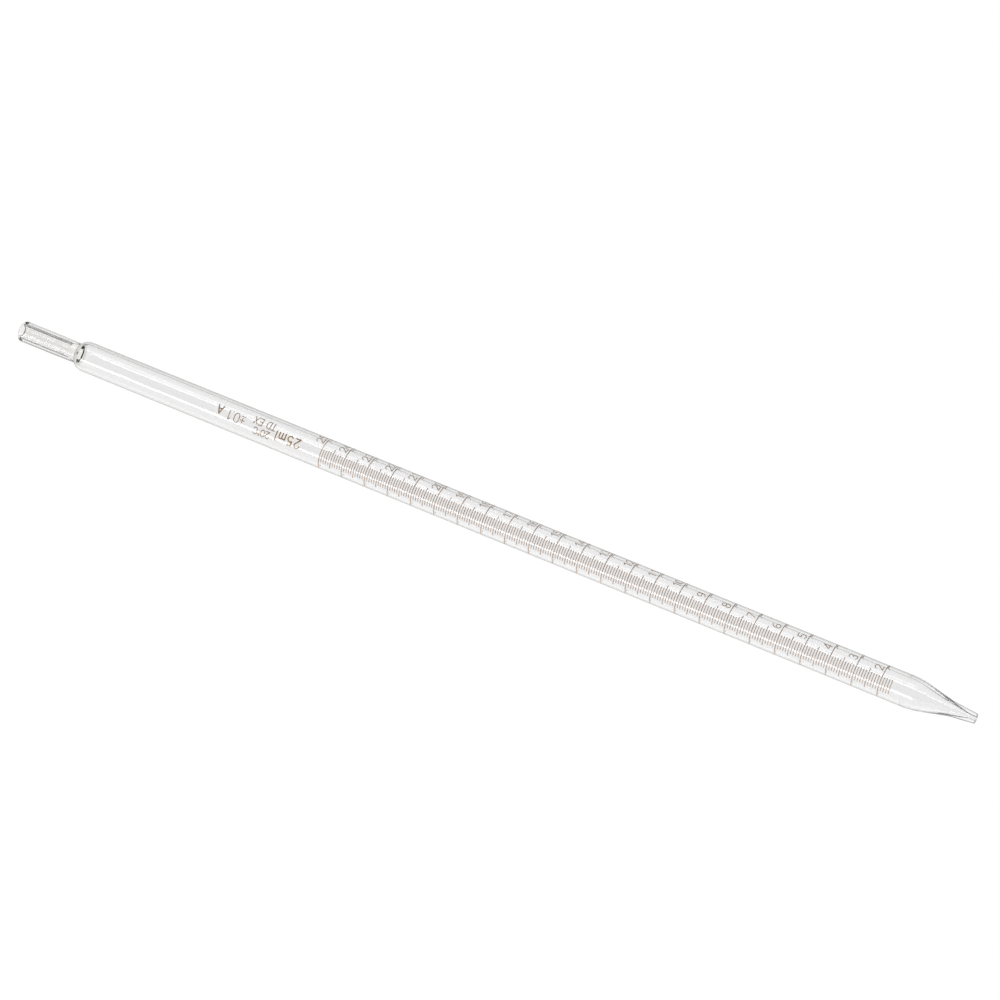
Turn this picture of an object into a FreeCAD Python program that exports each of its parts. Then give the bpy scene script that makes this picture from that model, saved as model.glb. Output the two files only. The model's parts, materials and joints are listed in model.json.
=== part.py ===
import FreeCAD, Part
import math
import os
import Sketcher
from FreeCAD import Placement, Rotation, Vector

# A 25 ml graduated glass pipette lying along X: mouth end at -X, delivery tip at +X.
# The origin is on the surface that it lies on, below the middle of its length.
# Each piece is built round its own X axis and lifted to the height of the pipette's axis.

doc = FreeCAD.newDocument("GraduatedPipette")

# ---------------------------------------------------------------- driving dimensions
# Lengths in millimetres, angles in degrees, volumes in millilitres. Angles round the
# tube are measured from the top, positive towards -Y, which is the reader's side.
DIMENSIONS = [
    ("overall_length", 450, "mouth to tip"),
    ("barrel_outer_radius", 6.705, "graduated tube, outside"),
    ("barrel_bore_radius", 5.347, "graduated tube, inside: this sets the scale's pitch"),
    ("mouth_to_seam", 29.5, "length of the suction tube"),
    ("seam_outer_radius", 4.51, "where the suction tube is sealed to the shoulder"),
    ("seam_bore_radius", 3.1, "bore at the seal"),
    ("shoulder_length", 4.5, "domed shoulder, along the axis"),
    ("suction_outer_radius", 4.66, "straight end that a pipette filler grips"),
    ("suction_bore_radius", 2.3, "suction tube, inside"),
    ("suction_straight_length", 18.6, "straight part, from the mouth"),
    ("suction_flare_length", 3.2, "widening of the bore before the seal"),
    ("rim_outer_round", 1.3, "fire-polished mouth, outer edge"),
    ("rim_inner_round", 0.6, "fire-polished mouth, inner edge"),
    ("flare_round", 3, "blend into the widening"),
    ("jet_length", 29.9, "drawn-down end, from the end of the barrel"),
    ("jet_taper_angle", 13.1, "half angle of the cone"),
    ("jet_bend_radius", 37, "outside, barrel to cone"),
    ("jet_bore_bend_radius", 27.6, "inside, barrel to cone"),
    ("jet_tip_length", 10.4, "slimmer end with the ground tip"),
    ("jet_tip_end_radius", 2.08, "outside, at the very end"),
    ("jet_knee_length", 14.9, "slimmer part of the bore, from the outlet"),
    ("orifice_length", 2.8, "straight part of the outlet hole"),
    ("orifice_radius", 0.65, "outlet hole"),
    ("jet_tip_round", 0.35, "fire-polished outer edge of the tip"),
    ("jet_blend_round", 12, "cone to tip"),
    ("mark_thickness", 0.03, "fired-on stain, standing on the glass"),
    ("mouth_to_full_mark", 154.55, "mouth to the 25 ml line"),
    ("full_mark", 25, "millilitres at the top line"),
    ("lowest_long_mark", 2, "millilitres at the lowest long line"),
    ("lowest_short_mark", 1.6, "millilitres at the lowest short line"),
    ("long_line_width", 0.36, "whole millilitre line"),
    ("half_line_width", 0.34, "half millilitre line"),
    ("tenth_line_width", 0.30, "tenth of a millilitre line"),
    ("long_line_span", 185, "angle that a whole millilitre line covers, a little over half the tube"),
    ("half_line_span", 75, "angle that a half millilitre line covers"),
    ("tenth_line_span", 52, "angle that a tenth of a millilitre line covers"),
    ("long_line_angle", 20.6, "middle of the whole millilitre lines, round the tube"),
    ("short_line_angle", 49, "middle of the other lines, round the tube"),
    ("numeral_height", 3.4, "figures of the scale"),
    ("numeral_stroke", 0.34, "line width of the figures"),
    ("numeral_gap", 1.1, "whole millilitre line to the foot of its figure"),
    ("numeral_first_angle", -4, "middle of the first figure"),
    ("numeral_step_angle", 23, "first figure to second figure"),
    ("bold_stroke", 0.52, "line width of the capacity and the class letter"),
    ("fine_stroke", 0.36, "line width of the small inscriptions"),
    # For each inscription: mouth to its first letter, angle of its middle, letter height.
    ("capacity_start", 144.25, "nominal capacity"),
    ("capacity_angle", 42.9, "nominal capacity"),
    ("capacity_height", 3.95, "nominal capacity"),
    ("temperature_start", 129.7, "reference temperature"),
    ("temperature_angle", 55.9, "reference temperature"),
    ("temperature_height", 3.0, "reference temperature"),
    ("delivery_start", 131.35, "to deliver, by running out"),
    ("delivery_angle", 18.5, "to deliver, by running out"),
    ("delivery_height", 3.15, "to deliver, by running out"),
    ("tolerance_start", 116.9, "error limit"),
    ("tolerance_angle", 38.0, "error limit"),
    ("tolerance_height", 4.0, "error limit"),
    ("accuracy_start", 105.8, "class letter"),
    ("accuracy_angle", 31.6, "class letter"),
    ("accuracy_height", 3.6, "class letter"),
]

sheet = doc.addObject("Spreadsheet::Sheet", "Dims")
for row, (alias, value, meaning) in enumerate(DIMENSIONS, 1):
    sheet.set("A%d" % row, meaning)
    sheet.set("B%d" % row, str(value))
    sheet.setAlias("B%d" % row, alias)
doc.recompute()


def size(alias):
    """A driving dimension as a number."""
    return float(sheet.get(alias))


def value_of(expression):
    """The number that an expression on the sheet gives."""
    return float(sheet.evalExpression(expression))


# ---------------------------------------------------------------- places along the axis
MOUTH = "(0 - Dims.overall_length / 2)"
TIP = "(Dims.overall_length / 2)"
SEAM = "(%s + Dims.mouth_to_seam)" % MOUTH
SHOULDER = "(%s + Dims.shoulder_length)" % SEAM
TAPER = "(%s - Dims.jet_length)" % TIP
TIP_ROOT = "(%s - Dims.jet_tip_length)" % TIP
AXIS_HEIGHT = "Dims.barrel_outer_radius + Dims.mark_thickness"

# One millilitre of the bore's length: its volume divided by the bore's area.
PITCH = "(1000 / (pi * Dims.barrel_bore_radius ^ 2))"


def mark_place(millilitres):
    """Where the mark for a volume stands, as an expression."""
    return "(%s + Dims.mouth_to_full_mark + (Dims.full_mark - %s) * %s)" % (MOUTH, millilitres, PITCH)


# ---------------------------------------------------------------- building helpers
def new_body(name):
    body = doc.addObject("PartDesign::Body", name)
    body.Label = name
    body.setExpression("Placement.Base.z", AXIS_HEIGHT)
    return body


def new_sketch(body, name):
    """A sketch on the body's XZ plane, so that its horizontal axis is the tube's axis."""
    plane = next(item for item in body.Origin.OriginFeatures if item.Role == "XZ_Plane")
    sketch = body.newObject("Sketcher::SketchObject", name)
    sketch.AttachmentSupport = [(plane, "")]
    sketch.MapMode = "FlatFace"
    return sketch


def pin_point(sketch, edge, point, label, place):
    """Fix a point of the sketch at two expressions; None leaves a direction free."""
    for kind, axis, expression in (("DistanceX", "x", place[0]), ("DistanceY", "y", place[1])):
        if expression is None:
            continue
        value = value_of(expression)
        index = sketch.addConstraint(Sketcher.Constraint(kind, -1, 1, edge, point, value))
        sketch.renameConstraint(index, label + axis)
        sketch.setExpression("Constraints.%s%s" % (label, axis), expression)


def draw_outline(sketch, corners, arcs=None):
    """Closed outline through the corners. arcs gives, for the edge that leaves a corner,
    the place along the axis of its centre; that centre is on the axis's side of the edge."""
    arcs = arcs or {}
    points = [Vector(value_of(along), value_of(out), 0) for along, out in corners]
    joins = []
    for edge, start in enumerate(points):
        end = points[(edge + 1) % len(points)]
        if edge not in arcs:
            sketch.addGeometry(Part.LineSegment(start, end))
            joins.append((1, 2))
            continue
        centre_x = value_of(arcs[edge])
        middle = (start + end) / 2
        normal = Vector(start.y - end.y, end.x - start.x, 0)
        centre = middle + normal * ((centre_x - middle.x) / normal.x)
        angles = [math.atan2(point.y - centre.y, point.x - centre.x) for point in (start, end)]
        circle = Part.Circle(centre, Vector(0, 0, 1), start.distanceToPoint(centre))
        sketch.addGeometry(Part.ArcOfCircle(circle, min(angles), max(angles)))
        joins.append((1, 2) if angles[0] < angles[1] else (2, 1))
        pin_point(sketch, edge, 3, "centre%d" % edge, (arcs[edge], None))
    for edge, (first, last) in enumerate(joins):
        following = (edge + 1) % len(joins)
        sketch.addConstraint(Sketcher.Constraint("Coincident", edge, last, following, joins[following][0]))
        pin_point(sketch, edge, first, "corner%d" % edge, corners[edge])


def revolve(body, sketch, name, span=None):
    """Turn a sketch round the tube's axis: all the way, or over an angle centred on it."""
    turned = body.newObject("PartDesign::Revolution", name)
    turned.Profile = sketch
    turned.ReferenceAxis = (sketch, ["H_Axis"])
    turned.Angle = 360
    if span is not None:
        turned.Midplane = True
        turned.setExpression("Angle", span)
    body.Tip = turned
    doc.recompute()
    return turned


def round_edge(body, base, name, place, radius):
    """Fillet the circular edge that stands at a place along the axis and a radius."""
    along, out = (value_of(expression) for expression in place)
    for index, edge in enumerate(base.Shape.Edges, 1):
        box = edge.BoundBox
        if box.XLength < 1e-6 and abs(box.XMin - along) < 1e-4 and abs(box.ZMax - out) < 1e-4:
            fillet = body.newObject("PartDesign::Fillet", name)
            fillet.Base = (base, ["Edge%d" % index])
            fillet.setExpression("Radius", radius)
            body.Tip = fillet
            doc.recompute()
            return fillet
    raise ValueError("no edge for " + name)


# ---------------------------------------------------------------- glass
def make_suction_tube():
    """Narrow tube with a thick fire-polished mouth; its bore widens into the seal."""
    body = new_body("suction_tube")
    straight_end = "(%s + Dims.suction_straight_length)" % MOUTH
    flare_start = "(%s - Dims.suction_flare_length)" % SEAM
    sketch = new_sketch(body, "SuctionTubeSection")
    draw_outline(sketch, [
        (MOUTH, "Dims.suction_outer_radius"),
        (straight_end, "Dims.suction_outer_radius"),
        (SEAM, "Dims.seam_outer_radius"),
        (SEAM, "Dims.seam_bore_radius"),
        (flare_start, "Dims.suction_bore_radius"),
        (MOUTH, "Dims.suction_bore_radius"),
    ])
    tube = revolve(body, sketch, "SuctionTubeWall")
    tube = round_edge(body, tube, "MouthOuterRound", (MOUTH, "Dims.suction_outer_radius"), "Dims.rim_outer_round")
    tube = round_edge(body, tube, "MouthInnerRound", (MOUTH, "Dims.suction_bore_radius"), "Dims.rim_inner_round")
    round_edge(body, tube, "FlareBlend", (flare_start, "Dims.suction_bore_radius"), "Dims.flare_round")
    return body


def make_barrel():
    """The measuring tube, with the domed shoulder that its upper end is closed in to."""
    body = new_body("graduated_barrel")
    sketch = new_sketch(body, "BarrelSection")
    draw_outline(sketch, [
        (SEAM, "Dims.seam_outer_radius"),
        (SHOULDER, "Dims.barrel_outer_radius"),
        (TAPER, "Dims.barrel_outer_radius"),
        (TAPER, "Dims.barrel_bore_radius"),
        (SHOULDER, "Dims.barrel_bore_radius"),
        (SEAM, "Dims.seam_bore_radius"),
    ], arcs={0: SHOULDER, 4: SHOULDER})
    revolve(body, sketch, "BarrelWall")
    return body


def bend_end(radius, wall_radius):
    """Where the bend from the barrel ends and the straight cone begins."""
    along = "(%s + %s * sin(Dims.jet_taper_angle))" % (TAPER, radius)
    out = "(%s - %s * (1 - cos(Dims.jet_taper_angle)))" % (wall_radius, radius)
    return along, out


def make_jet():
    """The end drawn down to a fine jet: a bend, a cone, and a slimmer thick-walled tip."""
    body = new_body("delivery_jet")
    outer_bend = bend_end("Dims.jet_bend_radius", "Dims.barrel_outer_radius")
    bore_bend = bend_end("Dims.jet_bore_bend_radius", "Dims.barrel_bore_radius")
    slope = "tan(Dims.jet_taper_angle)"
    root_radius = "(%s - %s * (%s - %s))" % (outer_bend[1], slope, TIP_ROOT, outer_bend[0])
    knee = "(%s - Dims.jet_knee_length)" % TIP
    knee_radius = "(%s - %s * (%s - %s))" % (bore_bend[1], slope, knee, bore_bend[0])
    sketch = new_sketch(body, "JetSection")
    draw_outline(sketch, [
        (TAPER, "Dims.barrel_outer_radius"),
        outer_bend,
        (TIP_ROOT, root_radius),
        (TIP, "Dims.jet_tip_end_radius"),
        (TIP, "Dims.orifice_radius"),
        ("(%s - Dims.orifice_length)" % TIP, "Dims.orifice_radius"),
        (knee, knee_radius),
        bore_bend,
        (TAPER, "Dims.barrel_bore_radius"),
    ], arcs={0: TAPER, 7: TAPER})
    jet = revolve(body, sketch, "JetWall")
    jet = round_edge(body, jet, "TipRound", (TIP, "Dims.jet_tip_end_radius"), "Dims.jet_tip_round")
    round_edge(body, jet, "TipBlend", (TIP_ROOT, root_radius), "Dims.jet_blend_round")
    return body


# ---------------------------------------------------------------- scale lines
def make_lines(name, first, size_word, angle, counts, steps):
    """Lines on the barrel: one is turned round the axis, then repeated up the scale in
    groups. counts and steps hold the number of lines and the distance, for each group;
    size_word is the first word of the two cells with the line's width and span."""
    body = new_body(name)
    sketch = new_sketch(body, name + "_section")
    low = "(%s - Dims.%s_line_width / 2)" % (first, size_word)
    high = "(%s + Dims.%s_line_width / 2)" % (first, size_word)
    top = "(Dims.barrel_outer_radius + Dims.mark_thickness)"
    draw_outline(sketch, [(low, "Dims.barrel_outer_radius"), (high, "Dims.barrel_outer_radius"),
                          (high, top), (low, top)])
    sketch.AttachmentOffset = Placement(Vector(0, 0, 0), Rotation(Vector(1, 0, 0), 1))
    sketch.setExpression("AttachmentOffset.Rotation.Angle", angle)
    line = revolve(body, sketch, name + "_line", "Dims.%s_line_span" % size_word)
    pattern = body.newObject("PartDesign::LinearPattern", name + "_scale")
    pattern.Originals = [line]
    pattern.Direction = (sketch, ["H_Axis"])
    pattern.Reversed = True
    pattern.setExpression("Length", "%s * (%d - 1)" % (steps[0], counts[0]))
    pattern.Occurrences = counts[0]
    if len(counts) > 1:
        pattern.Direction2 = (sketch, ["H_Axis"])
        pattern.Reversed2 = True
        pattern.setExpression("Length2", "%s * (%d - 1)" % (steps[1], counts[1]))
        pattern.Occurrences2 = counts[1]
    body.Tip = pattern
    doc.recompute()
    return body


def make_scale():
    """Lines of the whole, half and tenth millilitres. The tenths come in groups of four."""
    whole_steps = round(size("full_mark") - size("lowest_long_mark"))
    half = "(Dims.lowest_long_mark + 0.5)"
    return [
        make_lines("millilitre_lines", mark_place("Dims.lowest_long_mark"), "long",
                   "Dims.long_line_angle", [whole_steps + 1], [PITCH]),
        make_lines("half_millilitre_lines", mark_place(half), "half",
                   "Dims.short_line_angle", [whole_steps], [PITCH]),
        make_lines("tenth_millilitre_lines", mark_place("Dims.lowest_short_mark"), "tenth",
                   "Dims.short_line_angle", [4, 2 * whole_steps + 1], [PITCH + " / 10", PITCH + " / 2"]),
    ]


# ---------------------------------------------------------------- figures and letters
# A plain engraver's alphabet, one line thick. Heights run from 0 at the foot to 1 at the
# top. A stroke is a line (x, y, x, y) or an arc (centre x, centre y, radius, from, to).
GLYPHS = {
    "0": (0.56, [(0.28, 0.72, 0.28, 0, 180), (0.28, 0.28, 0.28, 180, 360),
                 (0, 0.28, 0, 0.72), (0.56, 0.28, 0.56, 0.72)]),
    "1": (0.26, [(0.24, 0, 0.24, 1), (0.24, 1, 0.02, 0.78)]),
    "2": (0.56, [(0.28, 0.72, 0.28, -30, 170), (0.522, 0.58, 0, 0), (0, 0, 0.56, 0)]),
    "3": (0.52, [(0.26, 0.76, 0.24, -90, 150), (0.26, 0.26, 0.26, -150, 90)]),
    "4": (0.58, [(0.44, 0, 0.44, 1), (0.44, 1, 0, 0.28), (0, 0.28, 0.58, 0.28)]),
    "5": (0.56, [(0.52, 1, 0.08, 1), (0.08, 1, 0.05, 0.54), (0.26, 0.3, 0.3, -140, 131)]),
    "6": (0.56, [(0.28, 0.28, 0.28, 0, 360), (0, 0.28, 0, 0.58), (0.42, 0.58, 0.42, 95, 180)]),
    "7": (0.56, [(0, 1, 0.56, 1), (0.56, 1, 0.18, 0)]),
    "8": (0.54, [(0.27, 0.76, 0.24, 0, 360), (0.27, 0.26, 0.26, 0, 360)]),
    "9": (0.56, [(0.28, 0.72, 0.28, 0, 360), (0.56, 0.42, 0.56, 0.72), (0.14, 0.42, 0.42, -85, 0)]),
    "A": (0.72, [(0, 0, 0.36, 1), (0.36, 1, 0.72, 0), (0.13, 0.36, 0.59, 0.36)]),
    "C": (0.58, [(0.3, 0.7, 0.3, 30, 180), (0.3, 0.3, 0.3, 180, 330), (0, 0.3, 0, 0.7)]),
    "D": (0.58, [(0, 0, 0, 1), (0, 1, 0.22, 1), (0, 0, 0.22, 0), (0.22, 0.64, 0.36, 0, 90),
                 (0.22, 0.36, 0.36, -90, 0), (0.58, 0.36, 0.58, 0.64)]),
    "E": (0.5, [(0, 0, 0, 1), (0, 1, 0.5, 1), (0, 0.52, 0.42, 0.52), (0, 0, 0.5, 0)]),
    "T": (0.56, [(0.28, 0, 0.28, 1), (0, 1, 0.56, 1)]),
    "X": (0.58, [(0, 0, 0.58, 1), (0, 1, 0.58, 0)]),
    "m": (0.72, [(0, 0, 0, 0.66), (0.18, 0.48, 0.18, 0, 180), (0.36, 0, 0.36, 0.48),
                 (0.54, 0.48, 0.18, 0, 180), (0.72, 0, 0.72, 0.48)]),
    "l": (0.06, [(0.03, 0, 0.03, 1)]),
    "±": (0.5, [(0, 0.56, 0.5, 0.56), (0.25, 0.31, 0.25, 0.81), (0, 0.1, 0.5, 0.1)]),
    "°": (0.24, [(0.12, 0.86, 0.12, 0, 360)]),
    ".": (0.04, [(0.02, 0, 0.02, 0.04)]),
    " ": (0.3, []),
}
FINE_GAP, BOLD_GAP = 0.2, 0.35  # between letters, as parts of their height
ROUND_THE_TUBE = Vector(0, 1, 0)
ALONG_THE_TUBE = Vector(1, 0, 0)
films = {}


def stroke_solid(stroke, height, width, low, deep):
    """One stroke with round ends, as a block that reaches through the stain's film."""
    half = width / 2
    if len(stroke) == 4:
        start, end = Vector(stroke[0], stroke[1], 0) * height, Vector(stroke[2], stroke[3], 0) * height
        run = end - start
        block = Part.makeBox(run.Length, width, deep, Vector(0, -half, low))
        block.Placement = Placement(start, Rotation(Vector(1, 0, 0), run))
        ends = (start, end)
    else:
        centre, radius = Vector(stroke[0], stroke[1], 0) * height, stroke[2] * height
        span = stroke[4] - stroke[3]
        base = centre + Vector(0, 0, low)
        block = Part.makeCylinder(radius + half, deep, base, Vector(0, 0, 1), span)
        block = block.cut(Part.makeCylinder(radius - half, deep, base))
        block.rotate(centre, Vector(0, 0, 1), stroke[3])
        angles = (math.radians(angle) for angle in stroke[3:])
        ends = [centre + Vector(math.cos(angle), math.sin(angle), 0) * radius for angle in angles]
    caps = [Part.makeCylinder(half, deep, point + Vector(0, 0, low)) for point in ends]
    return block.multiFuse(caps)


def glyph_film(character, height, width, reading):
    """A character as a thin film on the barrel, centred at the top of the tube. Its foot
    is towards -Y of its own frame and it reads along +X; reading is the tube's direction."""
    key = (character, height, width, reading.x)
    if key not in films:
        outer, film = size("barrel_outer_radius"), size("mark_thickness")
        blocks = [stroke_solid(stroke, height, width, outer / 2, outer) for stroke in GLYPHS[character][1]]
        solid = blocks[0].multiFuse(blocks[1:]) if len(blocks) > 1 else blocks[0]
        solid.translate(Vector(-GLYPHS[character][0] / 2, -0.5, 0) * height)
        start = reading * -height
        shell = Part.makeCylinder(outer + film, 2 * height, start, reading)
        shell = shell.cut(Part.makeCylinder(outer, 2 * height, start, reading))
        films[key] = shell.common(solid).removeSplitter()
    return films[key].copy()


def placed_film(film, quarter_turns, angle, along):
    """Turn a film to its reading direction, round the tube, and along to its place."""
    film.rotate(Vector(0, 0, 0), Vector(0, 0, 1), 90 * quarter_turns)
    film.rotate(Vector(0, 0, 0), Vector(1, 0, 0), angle)
    film.translate(Vector(along, 0, 0))
    return film


def new_films(name, shapes):
    feature = doc.addObject("Part::Feature", name)
    feature.Label = name
    feature.Shape = Part.makeCompound([solid for shape in shapes for solid in shape.Solids])
    feature.Placement = Placement(Vector(0, 0, value_of(AXIS_HEIGHT)), Rotation())
    return feature


def make_numerals():
    """The figure of each long line, read across the tube, with its top towards the mouth."""
    height, width = size("numeral_height"), size("numeral_stroke")
    shapes = []
    for number in range(round(size("lowest_long_mark")), round(size("full_mark")) + 1):
        along = value_of(mark_place(number)) - size("numeral_gap") - height / 2
        for place, character in enumerate(str(number)):
            angle = size("numeral_first_angle") - size("numeral_step_angle") * place
            film = glyph_film(character, height, width, ROUND_THE_TUBE)
            shapes.append(placed_film(film, 1, angle, along))
    return new_films("scale_numerals", shapes)


def make_inscription(name, text, cells, stroke, gap):
    """A line of letters read along the tube towards the mouth, with its foot towards +Y.
    cells is the first word of the three cells that place it."""
    height = size(cells + "_height")
    along = value_of("%s + Dims.%s_start" % (MOUTH, cells))
    shapes = []
    for character in text:
        half = GLYPHS[character][0] * height / 2
        along -= half
        if GLYPHS[character][1]:
            film = glyph_film(character, height, size(stroke), ALONG_THE_TUBE)
            shapes.append(placed_film(film, 2, size(cells + "_angle"), along))
        along -= half + gap * height
    return new_films(name, shapes)


def make_inscriptions():
    return [
        make_inscription("capacity_inscription", "25ml", "capacity", "bold_stroke", BOLD_GAP),
        make_inscription("temperature_inscription", "20°C", "temperature", "fine_stroke", FINE_GAP),
        make_inscription("delivery_inscription", "TD EX", "delivery", "fine_stroke", FINE_GAP),
        make_inscription("tolerance_inscription", "±0.1", "tolerance", "fine_stroke", FINE_GAP),
        make_inscription("class_letter", "A", "accuracy", "bold_stroke", BOLD_GAP),
    ]


# ---------------------------------------------------------------- whole pipette
pieces = [make_suction_tube(), make_barrel(), make_jet()]
pieces += make_scale()
pieces.append(make_numerals())
pieces += make_inscriptions()
doc.recompute()

for item in doc.Objects:
    if "Invalid" in item.State or "Error" in item.State:
        raise RuntimeError("%s failed: %s" % (item.Label, item.State))
for piece in pieces:
    if piece.Shape.isNull() or not piece.Shape.isValid():
        raise RuntimeError("bad shape: " + piece.Label)

os.makedirs("parts", exist_ok=True)
for piece in pieces:
    piece.Shape.exportStep(os.path.join("parts", piece.Label + ".step"))
    print("%-26s solids %3d  volume %10.3f mm3" % (piece.Label, len(piece.Shape.Solids), piece.Shape.Volume))
print("pitch of the scale: %.3f mm per millilitre" % value_of(PITCH))
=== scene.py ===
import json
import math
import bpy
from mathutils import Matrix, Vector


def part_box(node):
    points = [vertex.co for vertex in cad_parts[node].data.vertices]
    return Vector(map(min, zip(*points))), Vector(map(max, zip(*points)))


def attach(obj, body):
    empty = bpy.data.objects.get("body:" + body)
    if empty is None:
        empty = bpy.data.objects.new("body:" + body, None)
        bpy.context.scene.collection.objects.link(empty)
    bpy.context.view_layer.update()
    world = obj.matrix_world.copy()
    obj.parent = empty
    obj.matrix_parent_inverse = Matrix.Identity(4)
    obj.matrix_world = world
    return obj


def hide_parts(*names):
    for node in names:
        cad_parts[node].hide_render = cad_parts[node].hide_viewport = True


bl_info = {
    "name": "Graduated glass pipette",
    "version": (1, 0, 0),
    "blender": (4, 5, 0),
    "location": "3D View > Sidebar > Pipette",
    "description": "Builds the glass, the amber stain and the studio of a 25 ml graduated pipette",
    "category": "Object",
}

import bmesh
import bpy
from bpy.props import FloatProperty, FloatVectorProperty, PointerProperty
from mathutils import Matrix, Vector

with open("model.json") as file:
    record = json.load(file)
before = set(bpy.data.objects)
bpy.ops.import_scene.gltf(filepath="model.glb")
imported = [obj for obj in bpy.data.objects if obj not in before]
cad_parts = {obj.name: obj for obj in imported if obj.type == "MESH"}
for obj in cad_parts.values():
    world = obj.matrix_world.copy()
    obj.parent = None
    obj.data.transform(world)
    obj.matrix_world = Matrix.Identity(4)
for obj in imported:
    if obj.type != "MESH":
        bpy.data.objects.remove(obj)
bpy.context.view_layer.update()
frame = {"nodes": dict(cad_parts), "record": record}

# ------------------------------------------------------------------ sizes read from the frame
MM = 0.001
AXIS = Vector((1.0, 0.0, 0.0))
MOUNTS = {mount["name"]: mount for mount in frame["record"]["mounts"]}
MOUTH_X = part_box("suction_tube")[0].x
SEAM_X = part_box("graduated_barrel")[0].x
TAPER_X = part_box("delivery_jet")[0].x
TIP_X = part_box("delivery_jet")[1].x
AXIS_Z = MOUNTS["filler_seat"]["pos_m"][2]


def mount_radius(name):
    return MOUNTS[name]["dims"]["r_mm"] * MM


# ------------------------------------------------------------------ fixed choices
OUTSIDE, JOINT, BORE, END_BORE, SEAL = range(5)  # the material index of each kind of face
SAME_PLACE = 1e-7                                # metres within which two points are one
INWARD = -0.1                                    # a bore's normal leans at least this far to the axis
SHARP_EDGE = 0.1                                 # radians; a joint's edge that is shaded sharp
SPIN_STEPS, DOME_STEPS, BEND_STEPS = 192, 24, 20

FLARE_ROUND = 3 * MM            # bore, where the suction tube starts to flare
WAIST_ROUND = 20 * MM           # outside, where the suction tube starts to narrow to the seal
TIP_BLEND_ROUND = 12 * MM       # outside, from cone to tip
OUTLET_EDGE_ROUND = 0.12 * MM   # the outlet's own edge
OUTLET_BLEND_ROUND = 6 * MM     # bore, from the outlet's straight part to its taper
KNEE_ROUND = 12 * MM            # bore, at the knee
MOUTH_SOFT = 1.2 * MM           # softened bore at the mouth
FLARE_SOFT = 0.4 * MM           # softened bore ahead of the flare
TIP_BORE_LEAD = 2 * MM          # bore of the tip, ahead of the tip's outside

GLASS_IOR = 1.473               # borosilicate glass
SOFT_BORE_IOR = 1.08            # not glass: with the true index the softened bore turns black
WAVE_SCALE, WAVE_DETAIL = (18.0, 260.0, 260.0), 1.5
WAVE_STRENGTH, WAVE_HEIGHT = 0.1, 0.02 * MM

STAIN_IOR, STAIN_ROUGHNESS = 1.5, 0.12
STAIN_DETAIL = 4.0
FINE_PATCHES, BOLD_PATCHES = 900.0, 500.0        # noise scale of the stain's uneven depth
DEEP_TONE, PALE_TONE, PALE_LIFT = 0.72, 1.35, 0.02
DEEP_BELOW, PALE_ABOVE = 0.35, 0.68

FLOOR_HALF_SIDE, FLOOR_CELLS, FLOOR_ROUGHNESS = 6.0, 4, 0.9
GRAIN_SCALE, GRAIN_TONE = 40.0, 0.97
SOFTBOX_REACH, SOFTBOX_ALONG = 1.6, -0.55        # metres out from the tube, and along it
LOW_BOX_TURN, LOW_BOX_SIZE = math.radians(78), (1.7, 0.35)
HIGH_BOX_TURN, HIGH_BOX_SIZE = math.radians(-14), (1.7, 0.30)
NEAREST, FARTHEST = 0.01, 50.0                   # what the camera sees, in metres


# ------------------------------------------------------------------ what a user would change
def length(name, description, default):
    return FloatProperty(name=name, description=description, default=default, min=0.0,
                         subtype="DISTANCE", unit="LENGTH", precision=5)


def angle(name, description, degrees):
    return FloatProperty(name=name, description=description, default=math.radians(degrees),
                         subtype="ANGLE", unit="ROTATION")


def colour(name, description, default):
    return FloatVectorProperty(name=name, description=description, default=default, size=3,
                               min=0.0, max=1.0, subtype="COLOR")


def amount(name, description, default):
    return FloatProperty(name=name, description=description, default=default, min=0.0)


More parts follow.
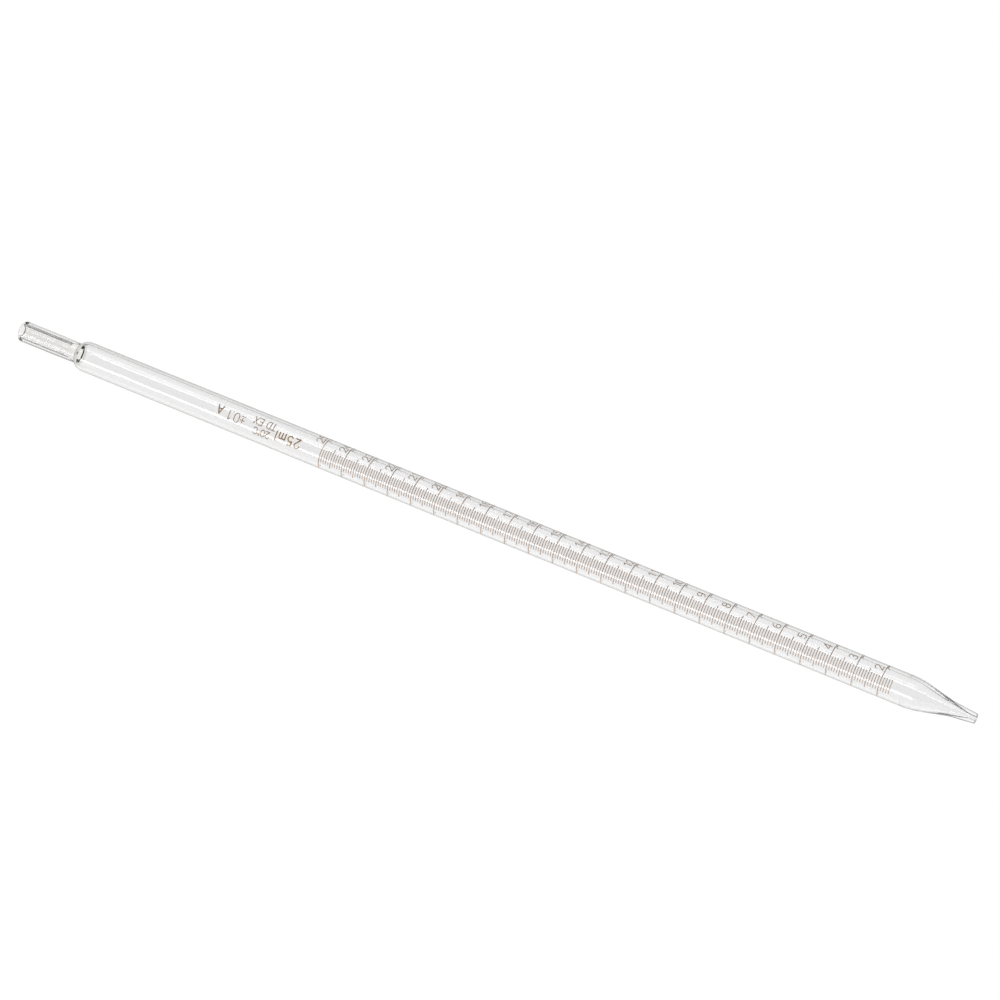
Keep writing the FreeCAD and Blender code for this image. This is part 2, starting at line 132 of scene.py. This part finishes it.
class PipetteGlass(bpy.types.PropertyGroup):
    barrel_radius: length("Barrel radius", "Outside of the measuring tube", mount_radius("clamp_seat"))
    barrel_bore: length("Barrel bore", "Inside radius of the measuring tube", 5.347 * MM)
    seam_radius: length("Seam radius", "Outside, where the suction tube is sealed on", 4.51 * MM)
    seam_bore: length("Seam bore", "Inside radius at the seal", 3.1 * MM)
    shoulder: length("Shoulder", "Length of the domed shoulder", 4.5 * MM)
    # The band on the outside at the seal that gets the seal colour: grey-green of thick glass with painted
    # shade of a dark ring.
    seal_length: length("Seal length", "Tinted glass of the shoulder, from the seal", 0.9 * MM)
    funnel: length("Funnel", "Flame-softened bore of the shoulder, from the seal", 2.5 * MM)
    suction_radius: length("Suction radius", "Outside of the suction tube", mount_radius("filler_seat"))
    suction_bore: length("Suction bore", "Inside radius of the suction tube", mount_radius("suction_bore"))
    suction_straight: length("Suction straight", "Straight part of the suction tube", 18.6 * MM)
    flare: length("Flare", "Widening of the bore before the seal", 3.2 * MM)
    rim_outer: length("Outer rim round", "Fire-polished outer edge of the mouth", 1.3 * MM)
    rim_inner: length("Inner rim round", "Fire-polished inner edge of the mouth", 0.6 * MM)
    taper: angle("Taper", "Half angle of the jet's cone", 13.1)
    jet_bend: length("Jet bend", "Radius of the bend from barrel to cone", 37.0 * MM)
    jet_bore_bend: length("Jet bore bend", "Radius of the same bend, inside", 27.6 * MM)
    tip_length: length("Tip length", "Slimmer end of the jet", 10.4 * MM)
    tip_radius: length("Tip radius", "Outside of the jet at its end", 2.08 * MM)
    tip_round: length("Tip round", "Fire-polished edge of the tip", 0.35 * MM)
    knee: length("Bore knee", "Slimmer part of the jet's bore, from the outlet", 14.9 * MM)
    orifice_run: length("Orifice run", "Straight part of the outlet", 2.8 * MM)
    orifice: length("Orifice", "Radius of the outlet", mount_radius("jet_orifice"))
    tint: colour("Tint", "Colour of the glass, face on", (0.940, 0.937, 0.938))
    # Painted shade: the dark colour given to the glass where it is seen along its wall, which draws the
    # dark lines at a tube's sides.
    edge: colour("Edge", "Colour of the glass where it is seen along its wall", (0.22, 0.225, 0.205))
    thick_tint: colour("Thick tint", "Colour of the thick suction tube, face on", (0.895, 0.888, 0.878))
    # Grey-green of the thick glass at the seal, darkened further as painted shade of the dark ring that
    # the thick wall draws.
    seal: colour("Seal", "Colour of the thick glass round the seal", (0.62, 0.63, 0.54))
    # Painted shade of the bore's sides, seen through the wall.
    bore_painted_shade: colour("Bore edge", "Colour of the bore's sides, seen through the wall", (0.03, 0.03, 0.03))


class PipetteStain(bpy.types.PropertyGroup):
    fine: colour("Fine stain", "Pale amber brown of the scale", (0.46, 0.32, 0.22))
    small: colour("Small stain", "Amber brown of the small letters", (0.34, 0.22, 0.12))
    bold: colour("Bold stain", "Dark amber of the bold letters", (0.34, 0.20, 0.05))


class PipetteStudio(bpy.types.PropertyGroup):
    floor: colour("Floor", "Pale studio floor", (0.12, 0.12, 0.12))
    floor_glow: amount("Floor glow", "Light that comes through the floor sheet", 0.96)
    room: amount("Room light", "Brightness of the room round the table", 0.35)
    low_light: amount("Low light", "Brightness of the softbox beside the scale", 6.0)
    high_light: amount("High light", "Brightness of the softbox over the tube", 2.2)
    azimuth: angle("Camera azimuth", "Turn of the camera round the pipette", 28.63)
    elevation: angle("Camera elevation", "Rise of the camera above the horizon", 47.76)
    distance: length("Camera distance", "From the camera to the plane of the aim", 1.3058)
    aim_right: length("Aim right", "From the top line to the middle of the view, across", 73.32 * MM)
    aim_down: length("Aim down", "From the top line to the middle of the view, down", 19.31 * MM)
    lens: amount("Lens", "Focal length in millimetres", 111.5)


# ------------------------------------------------------------------ mesh helpers
class Pen:
    """Draws half of a section of the tube, at places along its axis and out from it. Every
    stroke extrudes or spins the last vertex, so arcs and lines join up."""

    def __init__(self, along, out):
        self.mesh = bmesh.new()
        self.last = self.first = self.mesh.verts.new((along, 0.0, AXIS_Z + out))
        self.soft_corners = []

    def line_to(self, along, out, corner_radius=0.0, segments=10):
        made = bmesh.ops.extrude_vert_indiv(self.mesh, verts=[self.last])["verts"]
        self.last = made[0]
        self.last.co = (along, 0.0, AXIS_Z + out)
        if corner_radius:
            self.soft_corners.append((self.last, corner_radius, segments))

    def arc(self, along, out, turn, steps):
        """Turn round a centre; a positive turn goes from the mouth's side up and over."""
        made = bmesh.ops.spin(self.mesh, geom=[self.last], cent=(along, 0.0, AXIS_Z + out),
                              axis=(0.0, 1.0, 0.0), angle=turn, steps=steps)
        self.last = next(part for part in made["geom_last"] if isinstance(part, bmesh.types.BMVert))

    def close(self):
        self.mesh.edges.new((self.last, self.first))
        for corner, radius, segments in self.soft_corners:
            ways = [(edge.other_vert(corner).co - corner.co) for edge in corner.link_edges]
            turn = math.pi - ways[0].angle(ways[1])
            bmesh.ops.bevel(self.mesh, geom=[corner], offset=radius * math.tan(turn / 2),
                            offset_type="OFFSET", segments=segments, profile=0.5,
                            affect="VERTICES", material=-1)
        return self.mesh


def looks_inward(face):
    """True for a face of the bore, which looks towards the axis."""
    out = face.calc_center_median() - Vector((0.0, 0.0, AXIS_Z))
    out.x = 0.0
    return face.normal.dot(out.normalized()) < INWARD


def spun_glass(name, section, joints):
    """Spin a closed section into a piece of glass. The flat faces at the joints are where two
    stretches of glass are one from the flame. They and the bore, whose faces look towards the
    axis, get materials of their own."""
    bmesh.ops.spin(section, geom=section.verts[:] + section.edges[:], cent=(0.0, 0.0, AXIS_Z),
                   axis=AXIS, angle=math.tau, steps=SPIN_STEPS, use_merge=True)
    bmesh.ops.remove_doubles(section, verts=section.verts, dist=SAME_PLACE)
    bmesh.ops.recalc_face_normals(section, faces=section.faces)
    for face in section.faces:
        face.smooth = True
    for face in section.faces:
        if any(all(abs(vert.co.x - joint) < SAME_PLACE for vert in face.verts) for joint in joints):
            face.material_index = JOINT
            for edge in face.edges:
                if edge.calc_face_angle() > SHARP_EDGE:
                    edge.smooth = False
        elif looks_inward(face):
            face.material_index = BORE
    mesh = bpy.data.meshes.new(name)
    section.to_mesh(mesh)
    section.free()
    return bpy.data.objects.new(name, mesh)


def dome(top, foot, run):
    """Height of the centre of an arc that leaves a straight wall at top and comes down to
    foot over a run, and the angle that it turns through."""
    centre = (top ** 2 - foot ** 2 - run ** 2) / (2 * (top - foot))
    return centre, math.atan2(run, foot - centre)


# ------------------------------------------------------------------ materials
def new_material(name):
    material = bpy.data.materials.new(name)
    material.use_nodes = True
    nodes = material.node_tree.nodes
    return material, nodes, material.node_tree.links, nodes["Principled BSDF"]


def clear_glass(name, tint, ior=GLASS_IOR):
    """Borosilicate tube: clear, with the faint lengthwise waviness of drawn glass."""
    material, nodes, links, shader = new_material(name)
    shader.inputs["Base Color"].default_value = (*tint, 1.0)
    shader.inputs["Transmission Weight"].default_value = 1.0
    shader.inputs["Roughness"].default_value = 0.0
    shader.inputs["IOR"].default_value = ior
    place = nodes.new("ShaderNodeTexCoord")
    stretch = nodes.new("ShaderNodeMapping")
    stretch.inputs["Scale"].default_value = WAVE_SCALE
    waves = nodes.new("ShaderNodeTexNoise")
    waves.inputs["Scale"].default_value = 1.0
    waves.inputs["Detail"].default_value = WAVE_DETAIL
    bump = nodes.new("ShaderNodeBump")
    bump.inputs["Strength"].default_value = WAVE_STRENGTH
    bump.inputs["Distance"].default_value = WAVE_HEIGHT
    links.new(place.outputs["Object"], stretch.inputs["Vector"])
    links.new(stretch.outputs["Vector"], waves.inputs["Vector"])
    links.new(waves.outputs["Fac"], bump.inputs["Height"])
    links.new(bump.outputs["Normal"], shader.inputs["Normal"])
    return material


def paint_side_shade(material, tint, edge, least, start, full, past=None, bore=False):
    """Paint shade on clear glass where it is seen along its wall: painted shade that draws the dark
    lines at a tube's sides, on the outside as light enters it, and on a bore as it is met
    from within the wall. The slant runs from 0, face on, to 1, along the wall. From start to full
    the colour goes to edge, the painted shade colour, and the share of light passed on to least.
    Beyond past, if it is given, the glass is clear again."""
    nodes, links = material.node_tree.nodes, material.node_tree.links
    slant = nodes.new("ShaderNodeLayerWeight")
    slant.inputs["Blend"].default_value = 0.5
    side = nodes.new("ShaderNodeNewGeometry")
    met = side.outputs["Backfacing"]
    if not bore:
        front = nodes.new("ShaderNodeMath")
        front.operation = "SUBTRACT"
        front.inputs[0].default_value = 1.0
        links.new(met, front.inputs[1])
        met = front.outputs["Value"]
    within = nodes.new("ShaderNodeMath")
    within.operation = "MULTIPLY"
    links.new(met, within.inputs[0])
    links.new(slant.outputs["Facing"], within.inputs[1])
    shader = nodes["Principled BSDF"]
    # Painted shade: base colour and passed light go dark as the slant grows.
    for name, clear, dark in (("Base Color", tint, edge),
                              ("Transmission Weight", (1.0,) * 3, (least,) * 3)):
        ramp = nodes.new("ShaderNodeValToRGB")
        stops = ramp.color_ramp.elements
        stops[0].position, stops[0].color = start, (*clear, 1.0)
        stops[1].position, stops[1].color = full, (*dark, 1.0)
        if past:
            stops.new(past).color = (*clear, 1.0)
        links.new(within.outputs["Value"], ramp.inputs["Fac"])
        links.new(ramp.outputs["Color"], shader.inputs[name])


def fused_joint():
    """Inside a flame seal there is no surface, so light goes straight on."""
    material = bpy.data.materials.new("fused_joint")
    material.use_nodes = True
    nodes = material.node_tree.nodes
    nodes.remove(nodes["Principled BSDF"])
    through = nodes.new("ShaderNodeBsdfTransparent")
    material.node_tree.links.new(through.outputs["BSDF"], nodes["Material Output"].inputs["Surface"])
    return material


def fired_stain(name, tone, patch):
    """Silver stain fired into the glass: amber, uneven in depth, with a glassy surface."""
    material, nodes, links, shader = new_material(name)
    place = nodes.new("ShaderNodeTexCoord")
    clouds = nodes.new("ShaderNodeTexNoise")
    clouds.inputs["Scale"].default_value = patch
    clouds.inputs["Detail"].default_value = STAIN_DETAIL
    ramp = nodes.new("ShaderNodeValToRGB")
    deep = [channel * DEEP_TONE for channel in tone]
    pale = [min(1.0, channel * PALE_TONE + PALE_LIFT) for channel in tone]
    ramp.color_ramp.elements[0].position = DEEP_BELOW
    ramp.color_ramp.elements[0].color = (*deep, 1.0)
    ramp.color_ramp.elements[1].position = PALE_ABOVE
    ramp.color_ramp.elements[1].color = (*pale, 1.0)
    shader.inputs["Roughness"].default_value = STAIN_ROUGHNESS
    shader.inputs["IOR"].default_value = STAIN_IOR
    links.new(place.outputs["Object"], clouds.inputs["Vector"])
    links.new(clouds.outputs["Fac"], ramp.inputs["Fac"])
    links.new(ramp.outputs["Color"], shader.inputs["Base Color"])
    return material


# ------------------------------------------------------------------ operators
def change_glass(piece, old, new, first, last):
    """Give the faces of one material another one, along a stretch of the piece."""
    for face in piece.data.polygons:
        if face.material_index == old and first < face.center.x < last:
            face.material_index = new


def place_glass(piece, node, kinds):
    """Put a new piece of glass in the scene, in the place of its CAD node."""
    for material in kinds:
        piece.data.materials.append(bpy.data.materials[material])
    bpy.context.scene.collection.objects.link(piece)
    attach(piece, "root")
    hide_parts(node)


def stain_node(node, material):
    """Give a CAD node that is part of the stain its fired colour."""
    marks = frame["nodes"][node]
    marks.data.materials.clear()
    marks.data.materials.append(bpy.data.materials[material])


class PIPETTE_OT_materials(bpy.types.Operator):
    """Make the glass and stain that the pieces share"""

    bl_idname = "pipette.materials"
    bl_label = "Materials"
    bl_options = {"REGISTER", "UNDO"}

    def execute(self, context):
        glass = context.scene.pipette_glass
        tint, thick, edge, bore = glass.tint, glass.thick_tint, glass.edge, glass.bore_painted_shade
        # Painted shade: these ramps darken the glass and its bores where each is seen along its wall,
        # drawing the dark side lines.
        paint_side_shade(clear_glass("barrel_glass", tint), tint, edge,
                    least=0.25, start=0.47, full=0.86)
        paint_side_shade(clear_glass("suction_glass", thick), thick, edge,
                    least=0.40, start=0.50, full=0.95)
        paint_side_shade(clear_glass("suction_bore", thick), thick, bore,
                    least=0.18, start=0.26, full=0.54, past=0.86, bore=True)
        paint_side_shade(clear_glass("jet_glass", tint), tint, edge,
                    least=0.25, start=0.42, full=0.85)
        paint_side_shade(clear_glass("jet_bore", tint), tint, bore,
                    least=0.12, start=0.40, full=0.62, bore=True)
        paint_side_shade(clear_glass("tip_bore", tint), tint, bore,
                    least=0.08, start=0.30, full=0.52, bore=True)
        clear_glass("barrel_bore", tint)
        clear_glass("soft_bore", tint, ior=SOFT_BORE_IOR)
        # Seal band: grey-green of the thick glass, darkened further as painted shade of the dark ring at
        # the seal.
        clear_glass("seal_glass", glass.seal)
        fused_joint()
        stain = context.scene.pipette_stain
        fired_stain("fine_stain", stain.fine, FINE_PATCHES)
        fired_stain("small_stain", stain.small, FINE_PATCHES)
        fired_stain("bold_stain", stain.bold, BOLD_PATCHES)
        return {"FINISHED"}


class PIPETTE_OT_suction_tube(bpy.types.Operator):
    """Make the narrow tube with the thick, fire-polished mouth"""

    bl_idname = "pipette.suction_tube"
    bl_label = "Suction Tube"
    bl_options = {"REGISTER", "UNDO"}

    def execute(self, context):
        glass = context.scene.pipette_glass
        pen = Pen(SEAM_X, glass.seam_bore)
        pen.line_to(SEAM_X - glass.flare, glass.suction_bore, FLARE_ROUND)
        pen.line_to(MOUTH_X, glass.suction_bore, glass.rim_inner)
        pen.line_to(MOUTH_X, glass.suction_radius, glass.rim_outer, segments=16)
        pen.line_to(MOUTH_X + glass.suction_straight, glass.suction_radius, WAIST_ROUND)
        pen.line_to(SEAM_X, glass.seam_radius)
        piece = spun_glass("suction_tube_glass", pen.close(), [SEAM_X])
        change_glass(piece, BORE, END_BORE, MOUTH_X - MM, MOUTH_X + MOUTH_SOFT)
        change_glass(piece, BORE, END_BORE, SEAM_X - glass.flare - FLARE_SOFT, SEAM_X)
        kinds = ("suction_glass", "fused_joint", "suction_bore", "soft_bore")
        place_glass(piece, "suction_tube", kinds)
        return {"FINISHED"}


class PIPETTE_OT_barrel(bpy.types.Operator):
    """Make the measuring tube with its domed shoulder"""

    bl_idname = "pipette.barrel"
    bl_label = "Graduated Barrel"
    bl_options = {"REGISTER", "UNDO"}

    def execute(self, context):
        glass = context.scene.pipette_glass
        shoulder = SEAM_X + glass.shoulder
        outer, outer_turn = dome(glass.barrel_radius, glass.seam_radius, glass.shoulder)
        inner, inner_turn = dome(glass.barrel_bore, glass.seam_bore, glass.shoulder)
        pen = Pen(SEAM_X, glass.seam_radius)
        pen.arc(shoulder, outer, outer_turn, DOME_STEPS)
        pen.line_to(TAPER_X, glass.barrel_radius)
        pen.line_to(TAPER_X, glass.barrel_bore)
        pen.line_to(shoulder, glass.barrel_bore)
        pen.arc(shoulder, inner, -inner_turn, DOME_STEPS)
        piece = spun_glass("graduated_barrel_glass", pen.close(), [SEAM_X, TAPER_X])
        change_glass(piece, BORE, END_BORE, SEAM_X, SEAM_X + glass.funnel)
        # Seal band on the outside: the thick glass's grey-green with painted shade of the dark ring at the
        # seal.
        change_glass(piece, OUTSIDE, SEAL, SEAM_X, SEAM_X + glass.seal_length)
        kinds = ("barrel_glass", "fused_joint", "barrel_bore", "soft_bore", "seal_glass")
        place_glass(piece, "graduated_barrel", kinds)
        return {"FINISHED"}


class PIPETTE_OT_jet(bpy.types.Operator):
    """Make the jet: a bend, a cone and a slimmer thick-walled tip"""

    bl_idname = "pipette.jet"
    bl_label = "Delivery Jet"
    bl_options = {"REGISTER", "UNDO"}

    def execute(self, context):
        glass = context.scene.pipette_glass
        sine, drop = math.sin(glass.taper), 1 - math.cos(glass.taper)
        slope = math.tan(glass.taper)
        tip_root = TIP_X - glass.tip_length
        root_radius = (glass.barrel_radius - glass.jet_bend * drop
                       - slope * (tip_root - TAPER_X - glass.jet_bend * sine))
        bore_end = TAPER_X + glass.jet_bore_bend * sine
        bore_end_radius = glass.barrel_bore - glass.jet_bore_bend * drop
        pen = Pen(TAPER_X, glass.barrel_radius)
        pen.arc(TAPER_X, glass.barrel_radius - glass.jet_bend, glass.taper, BEND_STEPS)
        pen.line_to(tip_root, root_radius, TIP_BLEND_ROUND, segments=8)
        pen.line_to(TIP_X, glass.tip_radius, glass.tip_round, segments=8)
        pen.line_to(TIP_X, glass.orifice, OUTLET_EDGE_ROUND, segments=4)
        pen.line_to(TIP_X - glass.orifice_run, glass.orifice, OUTLET_BLEND_ROUND, segments=6)
        knee = TIP_X - glass.knee
        knee_radius = bore_end_radius - slope * (knee - bore_end)
        pen.line_to(knee, knee_radius, KNEE_ROUND, segments=6)
        pen.line_to(bore_end, bore_end_radius)
        pen.arc(TAPER_X, glass.barrel_bore - glass.jet_bore_bend, -glass.taper, BEND_STEPS)
        piece = spun_glass("delivery_jet_glass", pen.close(), [TAPER_X])
        change_glass(piece, BORE, END_BORE, tip_root - TIP_BORE_LEAD, TIP_X)
        place_glass(piece, "delivery_jet", ("jet_glass", "fused_joint", "jet_bore", "tip_bore"))
        return {"FINISHED"}


class PIPETTE_OT_scale(bpy.types.Operator):
    """Stain the scale lines and their numerals brown"""

    bl_idname = "pipette.scale"
    bl_label = "Scale and Numerals"
    bl_options = {"REGISTER", "UNDO"}

    def execute(self, context):
        for node in ("millilitre_lines", "half_millilitre_lines", "tenth_millilitre_lines",
                     "scale_numerals"):
            stain_node(node, "fine_stain")
        return {"FINISHED"}


class PIPETTE_OT_inscriptions(bpy.types.Operator):
    """Stain the bold and the small letters near the top amber"""

    bl_idname = "pipette.inscriptions"
    bl_label = "Inscriptions"
    bl_options = {"REGISTER", "UNDO"}

    def execute(self, context):
        for node in ("capacity_inscription", "class_letter"):
            stain_node(node, "bold_stain")
        for node in ("temperature_inscription", "delivery_inscription", "tolerance_inscription"):
            stain_node(node, "small_stain")
        return {"FINISHED"}


# ------------------------------------------------------------------ studio
def strip_light(name, turn, size, strength):
    """A long softbox beside the tube. It stands at a turn round the tube, from straight up
    towards the scale's side, and faces the tube."""
    lamp = bpy.data.lights.new(name, type="AREA")
    lamp.shape = "RECTANGLE"
    lamp.size, lamp.size_y = size
    lamp.energy = strength * math.pi * size[0] * size[1]
    out = Vector((0.0, -math.sin(turn), math.cos(turn)))
    across = out.cross(AXIS)
    light = bpy.data.objects.new(name, lamp)
    place = Vector((SOFTBOX_ALONG, 0.0, AXIS_Z)) + out * SOFTBOX_REACH
    light.matrix_world = (Matrix.Translation(place)
                          @ Matrix((AXIS, across, out)).transposed().to_4x4())
    light.visible_camera = False
    bpy.context.scene.collection.objects.link(light)


def studio_floor(studio):
    """A pale sheet on the table, lit from below as on a light table."""
    bm = bmesh.new()
    bmesh.ops.create_grid(bm, x_segments=FLOOR_CELLS, y_segments=FLOOR_CELLS, size=FLOOR_HALF_SIDE)
    mesh = bpy.data.meshes.new("studio_floor")
    bm.to_mesh(mesh)
    bm.free()
    floor = bpy.data.objects.new("studio_floor", mesh)
    material, nodes, links, shader = new_material("floor_sheet")
    place = nodes.new("ShaderNodeTexCoord")
    grain = nodes.new("ShaderNodeTexNoise")
    grain.inputs["Scale"].default_value = GRAIN_SCALE
    tones = nodes.new("ShaderNodeValToRGB")
    tones.color_ramp.elements[0].color = (*[GRAIN_TONE * channel for channel in studio.floor], 1.0)
    tones.color_ramp.elements[1].color = (*studio.floor, 1.0)
    shader.inputs["Roughness"].default_value = FLOOR_ROUGHNESS
    shader.inputs["Specular IOR Level"].default_value = 0.0
    shader.inputs["Emission Color"].default_value = (1.0, 1.0, 1.0, 1.0)
    shader.inputs["Emission Strength"].default_value = studio.floor_glow
    links.new(place.outputs["Object"], grain.inputs["Vector"])
    links.new(grain.outputs["Fac"], tones.inputs["Fac"])
    links.new(tones.outputs["Color"], shader.inputs["Base Color"])
    mesh.materials.append(material)
    bpy.context.scene.collection.objects.link(floor)


def studio_camera(studio):
    """Look at the pipette from above and beside the jet's end."""
    turn, rise = studio.azimuth, studio.elevation
    right = Vector((math.cos(turn), math.sin(turn), 0.0))
    back = Vector((math.sin(turn) * math.cos(rise), -math.cos(turn) * math.cos(rise),
                   math.sin(rise)))
    up = back.cross(right)
    top_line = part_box("millilitre_lines")[0].x
    aim = Vector((top_line, 0.0, AXIS_Z)) + right * studio.aim_right - up * studio.aim_down
    lens = bpy.data.cameras.new("camera")
    lens.lens = studio.lens
    lens.clip_start, lens.clip_end = NEAREST, FARTHEST
    camera = bpy.data.objects.new("camera", lens)
    camera.matrix_world = (Matrix.Translation(aim + back * studio.distance)
                           @ Matrix((right, up, back)).transposed().to_4x4())
    bpy.context.scene.collection.objects.link(camera)
    bpy.context.scene.camera = camera


class PIPETTE_OT_studio(bpy.types.Operator):
    """Set the pale floor, the soft lights and the camera round the pipette"""

    bl_idname = "pipette.studio"
    bl_label = "Studio"
    bl_options = {"REGISTER", "UNDO"}

    def execute(self, context):
        studio = context.scene.pipette_studio
        studio_floor(studio)
        strip_light("low_softbox", LOW_BOX_TURN, LOW_BOX_SIZE, studio.low_light)
        strip_light("high_softbox", HIGH_BOX_TURN, HIGH_BOX_SIZE, studio.high_light)
        world = bpy.data.worlds.new("studio_room")
        world.use_nodes = True
        room = world.node_tree.nodes["Background"]
        room.inputs["Color"].default_value = (1.0, 1.0, 1.0, 1.0)
        room.inputs["Strength"].default_value = studio.room
        context.scene.world = world
        context.scene.view_settings.view_transform = "Standard"
        studio_camera(studio)
        return {"FINISHED"}


# ------------------------------------------------------------------ panel and registration
STEPS = ("materials", "suction_tube", "barrel", "jet", "scale", "inscriptions", "studio")


class PIPETTE_PT_parts(bpy.types.Panel):
    """Lists the steps that build the pipette, with what each one can change"""

    bl_idname = "PIPETTE_PT_parts"
    bl_label = "Graduated Pipette"
    bl_space_type = "VIEW_3D"
    bl_region_type = "UI"
    bl_category = "Pipette"

    def draw(self, context):
        layout = self.layout
        for step in STEPS:
            layout.operator("pipette." + step)
        for settings in (context.scene.pipette_glass, context.scene.pipette_stain,
                         context.scene.pipette_studio):
            box = layout.box()
            for name in settings.__annotations__:
                box.prop(settings, name)


CLASSES = (PipetteGlass, PipetteStain, PipetteStudio, PIPETTE_OT_materials,
           PIPETTE_OT_suction_tube, PIPETTE_OT_barrel, PIPETTE_OT_jet, PIPETTE_OT_scale,
           PIPETTE_OT_inscriptions, PIPETTE_OT_studio, PIPETTE_PT_parts)


def register():
    for item in CLASSES:
        bpy.utils.register_class(item)
    bpy.types.Scene.pipette_glass = PointerProperty(type=PipetteGlass)
    bpy.types.Scene.pipette_stain = PointerProperty(type=PipetteStain)
    bpy.types.Scene.pipette_studio = PointerProperty(type=PipetteStudio)


def unregister():
    del bpy.types.Scene.pipette_glass
    del bpy.types.Scene.pipette_stain
    del bpy.types.Scene.pipette_studio
    for item in reversed(CLASSES):
        bpy.utils.unregister_class(item)


def main():
    register()
    for step in STEPS:
        getattr(bpy.ops.pipette, step)()


if __name__ == "__main__":
    main()
